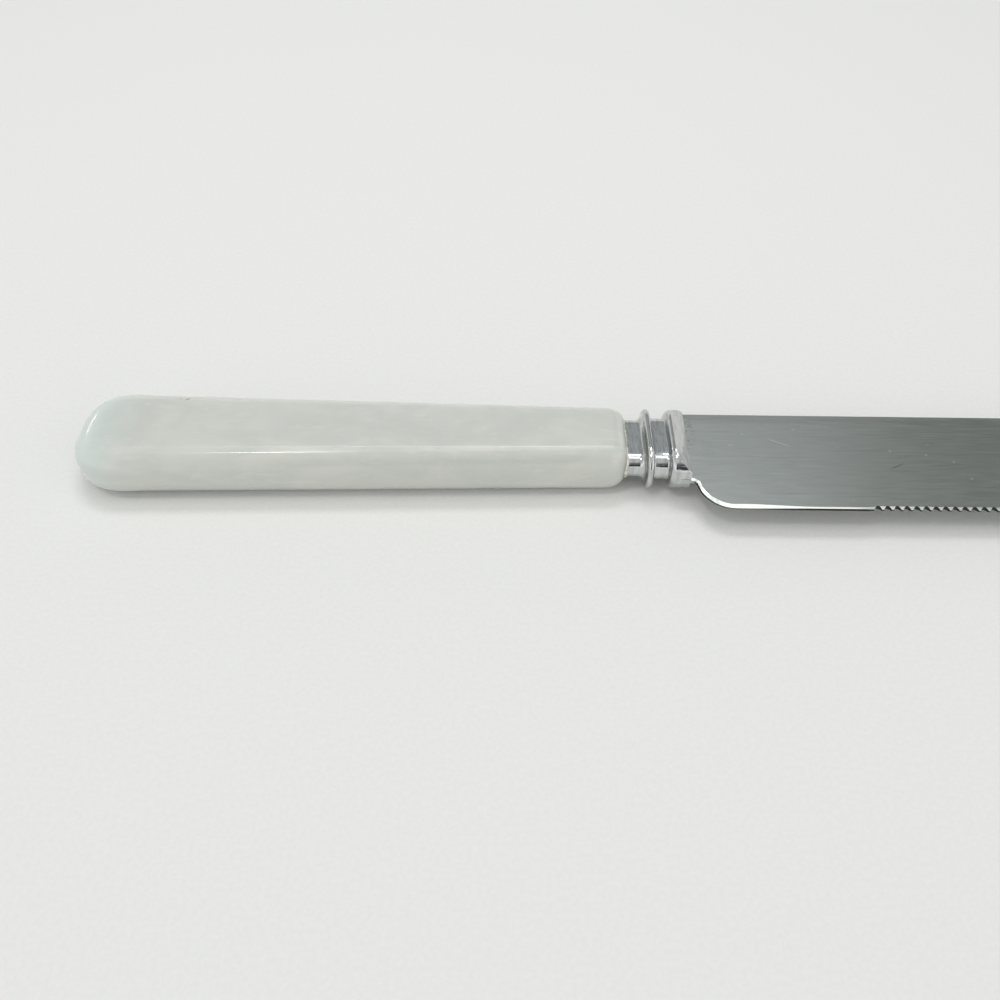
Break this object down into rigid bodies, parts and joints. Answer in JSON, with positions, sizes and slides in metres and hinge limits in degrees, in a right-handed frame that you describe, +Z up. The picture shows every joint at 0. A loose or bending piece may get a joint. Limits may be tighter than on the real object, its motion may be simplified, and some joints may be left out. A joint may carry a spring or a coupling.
{
  "type": "cake knife",
  "caption": "Cake knife with a pearl resin handle, a moulded plated ferrule and a long wedge-ground steel blade with a scalloped cutting edge, for slicing and serving cake.",
  "frame": {"origin": "on the handle's lower flat face, half way along the handle and under its axis", "axes": "+X from the butt to the tip, +Y from the cutting edge to the spine, +Z up through the blade's thickness, with the knife lying on its side"},
  "size_m": [0.3223, 0.0282, 0.0122],
  "materials": {
    "pearl_resin": "polished pearl",
    "cement": "matt",
    "ferrule_plate": "polished plate",
    "solder": "dull",
    "blade_steel": "satin, ground along its length"
  },
  "bodies": {
    "root": {"handle": "pearl_resin", "tang_cement": "cement", "ferrule": "ferrule_plate", "ferrule_solder": "solder", "blade": "blade_steel"}
  },
  "joints": []
}
